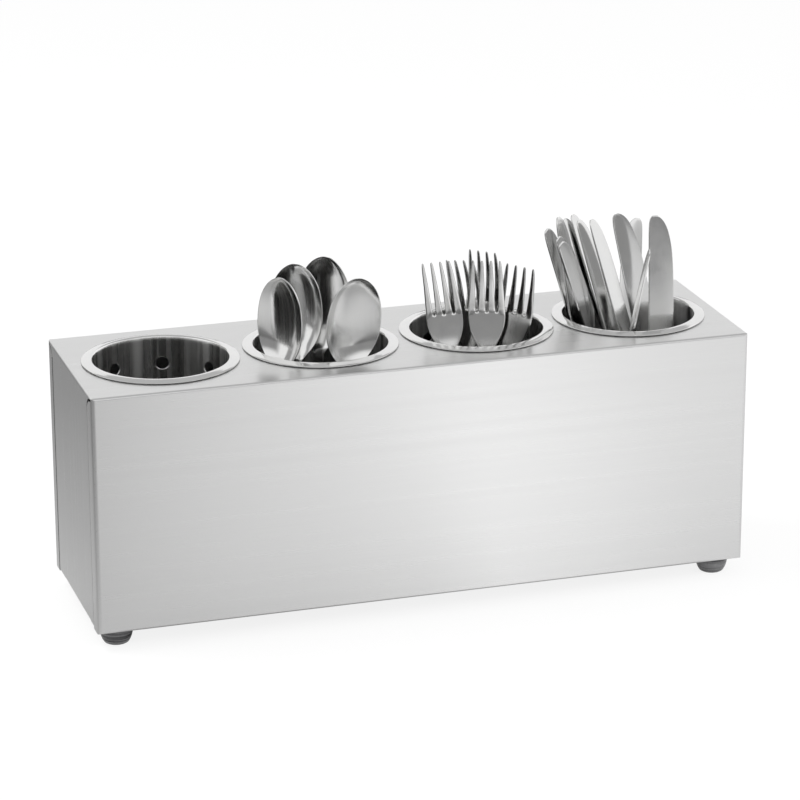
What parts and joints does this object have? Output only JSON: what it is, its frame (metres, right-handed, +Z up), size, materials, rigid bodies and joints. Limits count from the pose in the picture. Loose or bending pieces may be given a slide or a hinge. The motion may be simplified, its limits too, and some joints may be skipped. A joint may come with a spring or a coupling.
{
  "type": "cutlery dispenser",
  "caption": "Counter-top cutlery dispenser: a folded sheet housing on rubber feet holds perforated lift-out cups of spoons, forks and knives, with one cup left empty.",
  "frame": {"origin": "on the floor below the middle of the housing", "axes": "+X runs to the right along the length, +Y from the front to the back, +Z up"},
  "size_m": [0.49, 0.143, 0.2659],
  "materials": {
    "housing_steel": "fine straight-line brushed stainless sheet",
    "cup_steel": "polished stainless",
    "cutlery_steel": "polished stainless cutlery",
    "fastener_steel": "plain zinc-grey steel",
    "foot_rubber": "smooth dark moulded rubber"
  },
  "bodies": {
    "housing": {"hood": "housing_steel", "feet": "foot_rubber", "foot_studs": "fastener_steel", "foot_nuts": "fastener_steel"},
    "cup_1": {"cup_1": "cup_steel"},
    "cup_2": {"cup_2": "cup_steel"},
    "cup_3": {"cup_3": "cup_steel"},
    "cup_4": {"cup_4": "cup_steel"},
    "spoons": {"spoon_1": "cutlery_steel", "spoon_2": "cutlery_steel", "spoon_3": "cutlery_steel", "spoon_4": "cutlery_steel"},
    "forks": {"fork_1": "cutlery_steel", "fork_2": "cutlery_steel", "fork_3": "cutlery_steel", "fork_4": "cutlery_steel", "fork_5": "cutlery_steel"},
    "knives": {"knife_1": "cutlery_steel", "knife_2": "cutlery_steel", "knife_3": "cutlery_steel", "knife_4": "cutlery_steel", "knife_5": "cutlery_steel", "knife_6": "cutlery_steel", "knife_7": "cutlery_steel", "knife_8": "cutlery_steel", "knife_9": "cutlery_steel", "knife_10": "cutlery_steel", "knife_11": "cutlery_steel", "knife_12": "cutlery_steel"}
  },
  "joints": [
    {"name": "cup_1_lift", "type": "slide", "parent": "housing", "child": "cup_1", "axis": [0, 0, 1], "range_m": [0, 0.16]},
    {"name": "cup_2_lift", "type": "slide", "parent": "housing", "child": "cup_2", "axis": [0, 0, 1], "range_m": [0, 0.16]},
    {"name": "cup_3_lift", "type": "slide", "parent": "housing", "child": "cup_3", "axis": [0, 0, 1], "range_m": [0, 0.16]},
    {"name": "cup_4_lift", "type": "slide", "parent": "housing", "child": "cup_4", "axis": [0, 0, 1], "range_m": [0, 0.16]},
    {"name": "spoons_lift", "type": "slide", "parent": "cup_2", "child": "spoons", "axis": [0, 0, 1], "range_m": [0, 0.2]},
    {"name": "forks_lift", "type": "slide", "parent": "cup_3", "child": "forks", "axis": [0, 0, 1], "range_m": [0, 0.2]},
    {"name": "knives_lift", "type": "slide", "parent": "cup_4", "child": "knives", "axis": [0, 0, 1], "range_m": [0, 0.2]}
  ]
}
